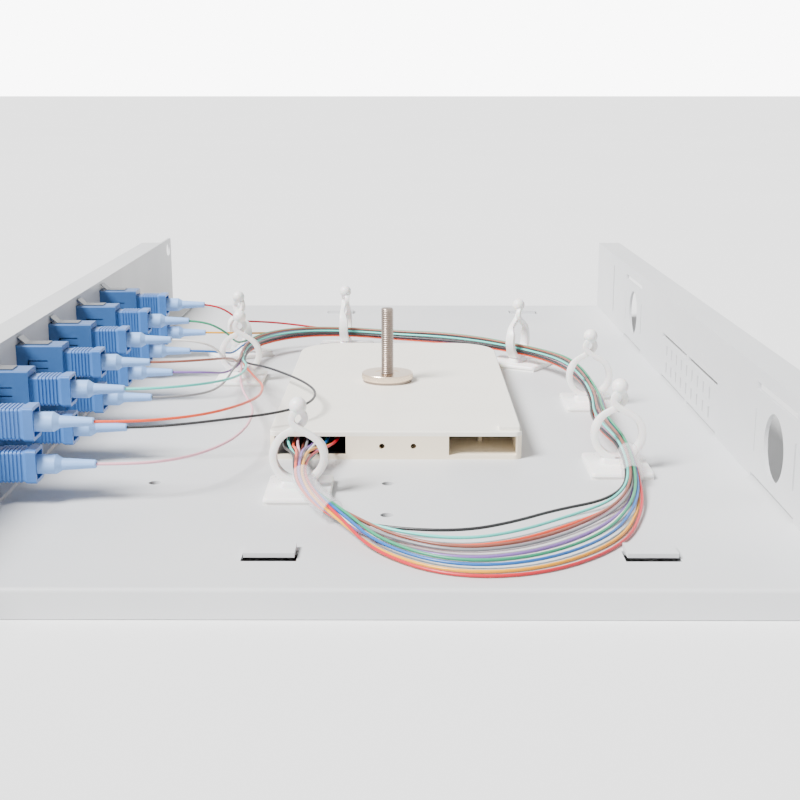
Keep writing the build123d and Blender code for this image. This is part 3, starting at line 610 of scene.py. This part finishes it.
def clip_arm(side):
    """One arm of the clip, half as wide where the two pass beside each other."""
    path = arm_path(side)
    rows = []
    for k, (y, z) in enumerate(path):
        before, after = path[max(k - 1, 0)], path[min(k + 1, len(path) - 1)]
        along = Vector((0, after[0] - before[0], after[1] - before[1])).normalized()
        out = Vector((0, along.z, -along.y))
        narrow = min(max(0, (k - 20) / 8), 1)
        narrow = narrow * narrow * (3 - 2 * narrow)
        width, aside = BAND_WIDTH * (1 - 0.5 * narrow), side * BAND_WIDTH / 4 * narrow
        row = []
        for i in range(STRIP_SIDES):
            angle = 2 * math.pi * (i + 0.5) / STRIP_SIDES
            u = min(max(math.cos(angle) * 1.25, -1), 1) * width / 2
            v = min(max(math.sin(angle) * 1.25, -1), 1) * BAND * (1 - 0.15 * narrow) / 2
            row.append(Vector((aside + u, y, z)) + out * v)
        rows.append(row)
    return rings_mesh(rows, STRIP_SIDES)


def clip_base(width, depth, height, lift, slope, corner):
    """A low block with rounded corners whose sides slope in by this much."""
    rows = []
    steps = 5
    for inset, z in ((0, 0), (slope * 0.1, 0.35), (slope * 0.4, 0.8), (slope, 1)):
        row = []
        for cx, cy, start in ((1, 1, 0), (-1, 1, 90), (-1, -1, 180), (1, -1, 270)):
            for s in range(steps + 1):
                angle = math.radians(start + 90 * s / steps)
                x = cx * (width / 2 - corner) + math.cos(angle) * (corner - inset)
                y = cy * (depth / 2 - corner) + math.sin(angle) * (corner - inset)
                row.append((x, y, lift + z * height))
        rows.append(row)
    return rings_mesh(rows, 4 * (steps + 1))


def ball(radius, centre):
    """A sphere with a tiny flat at each pole."""
    rings, sides = 10, 18
    rows = []
    for r in range(rings + 1):
        tilt = math.pi * (r + 0.02) / (rings + 0.04) - math.pi / 2
        reach, z = radius * math.cos(tilt), radius * math.sin(tilt)
        rows.append(
            [
                (
                    centre[0] + reach * math.cos(2 * math.pi * i / sides),
                    centre[1] + reach * math.sin(2 * math.pi * i / sides),
                    centre[2] + z,
                )
                for i in range(sides)
            ]
        )
    return rings_mesh(rows, sides)


def joined(parts):
    """Several meshes as one list of points and faces."""
    verts, faces = [], []
    for part_verts, part_faces in parts:
        start = len(verts)
        verts += [tuple(v) for v in part_verts]
        faces += [tuple(start + i for i in face) for face in part_faces]
    return verts, faces


def make_clip(number, turn):
    """A self-adhesive ring clip whose two arms cross and hook above the ring."""
    node = f"ring_clip_{number}"
    low, high = (Vector(corner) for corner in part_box(node))
    place = Matrix.Translation(((low.x + high.x) / 2, (low.y + high.y) / 2, FLOOR))
    place @= Matrix.Rotation(math.radians(turn), 4, "Z")
    foot = clip_base(*(size * MM for size in CLIP_FOOT))
    pedestal = clip_base(*(size * MM for size in CLIP_PEDESTAL))
    head = ball(HEAD_R, (0, 0, RING_MID + HEAD_RISE))
    verts, faces = joined([foot, pedestal, clip_arm(1), clip_arm(-1), head])
    verts = [place @ Vector(v) for v in verts]
    clip = piece_from(f"clip_{number}", verts, faces, "nylon")
    crease_shading(clip, 50)
    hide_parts(node)


# ---------------------------------------------------------------- stage and light
FLOOR_REACH = 40.0
FLOOR_DROP = 0.2 * MM  # keeps the floor clear of the tray's underside
# Strength of the white surround: as light, as a reflection, and as the backdrop.
SURROUND, REFLECTED, BACKDROP = 0.34, 1.9, 9.0


def sunlight(name, towards, strength, spread):
    """A soft distant light; spread is its width in degrees."""
    light = bpy.data.lights.new(name, "SUN")
    light.energy, light.angle = strength, math.radians(spread)
    holder = bpy.data.objects.new(name, light)
    holder.rotation_euler = Vector(towards).to_track_quat("-Z", "Y").to_euler()
    bpy.context.collection.objects.link(holder)


def add_floor():
    """A plain pale floor."""
    material, tree, shader = principled("studio_floor")
    mottle = noise(tree, 3.0, 2.0)
    tree.links.new(shades(tree, mottle, (0.91, 0.91, 0.91), (0.93, 0.93, 0.93)), shader.inputs["Base Color"])
    shader.inputs["Roughness"].default_value = 0.9
    mesh = bpy.data.meshes.new("studio_floor")
    corners = [(x * FLOOR_REACH, y * FLOOR_REACH, 0) for x, y in ((-1, -1), (1, -1), (1, 1), (-1, 1))]
    mesh.from_pydata(corners, [], [(0, 1, 2, 3)])
    mesh.materials.append(material)
    ground = bpy.data.objects.new("studio_floor", mesh)
    ground.location.z = -FLOOR_DROP
    bpy.context.collection.objects.link(ground)


def white_background(tree, strength):
    node = tree.nodes.new("ShaderNodeBackground")
    node.inputs["Color"].default_value = (1, 1, 1, 1)
    node.inputs["Strength"].default_value = strength
    return node.outputs[0]


def switch(tree, fac, off, on):
    """One shader or the other, by fac."""
    node = tree.nodes.new("ShaderNodeMixShader")
    tree.links.new(fac, node.inputs["Fac"])
    tree.links.new(off, node.inputs[1])
    tree.links.new(on, node.inputs[2])
    return node.outputs[0]


def add_surround():
    """A white world, brighter where it is seen directly or mirrored than as light."""
    world = bpy.data.worlds.new("studio")
    bpy.context.scene.world = world
    world.use_nodes = True
    tree = world.node_tree
    seen = tree.nodes.new("ShaderNodeLightPath")
    light, mirrored = white_background(tree, SURROUND), white_background(tree, REFLECTED)
    unseen = switch(tree, seen.outputs["Is Glossy Ray"], light, mirrored)
    whole = switch(tree, seen.outputs["Is Camera Ray"], unseen, white_background(tree, BACKDROP))
    tree.links.new(whole, tree.nodes["World Output"].inputs["Surface"])


def add_stage():
    """The floor, the surround and one soft key light."""
    add_floor()
    add_surround()
    sunlight("key", (-0.45, 0.72, -1.0), 10.5, 22)


# ---------------------------------------------------------------- build
add_camera()
make_pigtails()
make_sleeves()
dress_nodes()
make_stud()
make_nut()
for number, turn in enumerate(CLIP_TURNS, 1):
    make_clip(number, turn)
soften(["base_tray", "front_panel"], 0.25 * MM)
soften(["splice_cassette", "cassette_lid"], 0.35 * MM)
soften([f"adapter_{number}" for number in range(1, 7)], 0.2 * MM)
add_stage()
